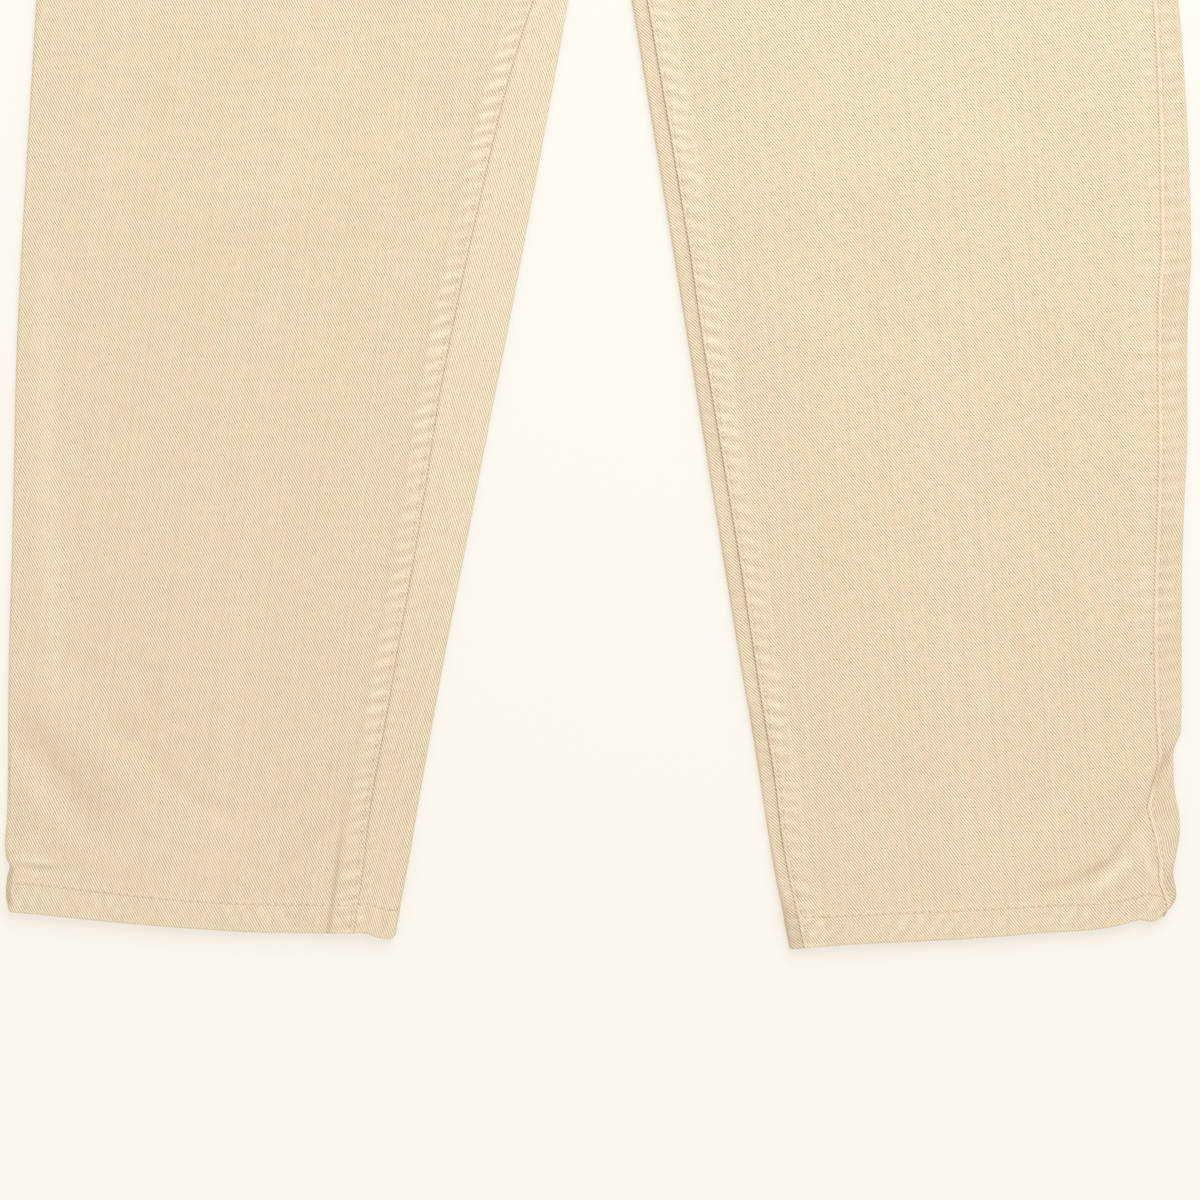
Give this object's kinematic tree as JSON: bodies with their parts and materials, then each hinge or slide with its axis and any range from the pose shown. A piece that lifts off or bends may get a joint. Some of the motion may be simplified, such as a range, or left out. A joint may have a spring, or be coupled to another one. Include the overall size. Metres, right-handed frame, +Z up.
{
  "type": "straight-leg jeans",
  "caption": "Pale sand bull-twill jeans laid flat on their back, legs apart, with turned hems, inseam and outseam, fly front, scoop and patch pockets.",
  "frame": {"origin": "middle of the garment's box, on the surface that it lies on", "axes": "+X to the wearer's left (the viewer's right), +Y from the hems to the waist, +Z up, from the back of the garment to its front"},
  "size_m": [0.6528, 0.9194, 0.0131],
  "materials": {
    "twill": "pale sand cotton bull twill, left-hand wales, matt",
    "zip_tape": "woven tape with a closed metal chain, hidden under the fly",
    "button_metal": "dull nickel tack button, plain",
    "zip_metal": "dull nickel slider, plain"
  },
  "bodies": {
    "root": {"front_right": "twill", "back_right": "twill", "yoke_right": "twill", "pocket_facing_right": "twill", "back_pocket_right": "twill", "front_left": "twill", "back_left": "twill", "yoke_left": "twill", "pocket_facing_left": "twill", "back_pocket_left": "twill", "waistband": "twill", "belt_loop_front_right": "twill", "belt_loop_front_left": "twill", "belt_loop_back_right": "twill", "belt_loop_back_centre": "twill", "belt_loop_back_left": "twill", "waist_button": "button_metal", "fly_zip": "zip_tape", "zip_slider": "zip_metal"}
  },
  "joints": []
}
